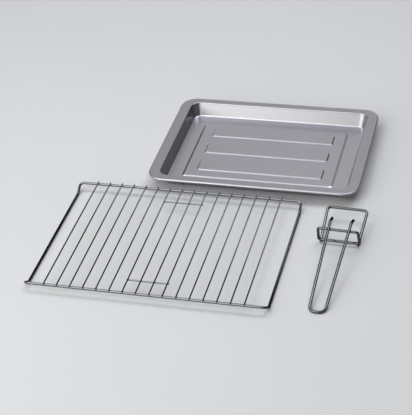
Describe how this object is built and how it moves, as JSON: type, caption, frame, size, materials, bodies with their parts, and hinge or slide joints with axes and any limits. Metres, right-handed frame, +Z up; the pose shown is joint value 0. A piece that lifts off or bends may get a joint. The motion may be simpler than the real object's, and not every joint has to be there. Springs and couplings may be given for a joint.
{
  "type": "baking tray, rack and tray handle set",
  "caption": "Shallow rolled-rim baking tray with a ribbed floor, a welded wire rack on dropped side rails, and a wire handle that hooks over the tray's edge.",
  "frame": {"origin": "middle of the set's footprint, on the table that its three things stand on", "axes": "+Z up, +Y from the rack towards the tray, +X from the rack towards the handle"},
  "size_m": [0.4722, 0.5274, 0.0414],
  "materials": {
    "tray_steel": "satin, pressed sheet",
    "rack_chrome": "polished plating on wire",
    "handle_chrome": "polished plating on wire"
  },
  "bodies": {
    "tray": {"tray_pan": "tray_steel"},
    "rack": {"rack_frame": "rack_chrome", "cross_wire_01": "rack_chrome", "cross_wire_02": "rack_chrome", "cross_wire_03": "rack_chrome", "cross_wire_04": "rack_chrome", "cross_wire_05": "rack_chrome", "cross_wire_06": "rack_chrome", "cross_wire_07": "rack_chrome", "cross_wire_08": "rack_chrome", "cross_wire_09": "rack_chrome", "cross_wire_10": "rack_chrome", "cross_wire_11": "rack_chrome", "cross_wire_12": "rack_chrome", "cross_wire_13": "rack_chrome", "cross_wire_14": "rack_chrome", "cross_wire_15": "rack_chrome", "cross_wire_16": "rack_chrome", "front_catch_bar": "rack_chrome", "rear_catch_bar": "rack_chrome"},
    "handle": {"panel_wire": "handle_chrome", "upright_loop": "handle_chrome", "grip_wire": "handle_chrome"}
  },
  "joints": [
    {"name": "rack_lift", "type": "slide", "parent": "tray", "child": "rack", "axis": [0, 0, 1], "range_m": [0, 0.06]},
    {"name": "handle_lift", "type": "slide", "parent": "tray", "child": "handle", "axis": [0, 0, 1], "range_m": [0, 0.06]}
  ]
}
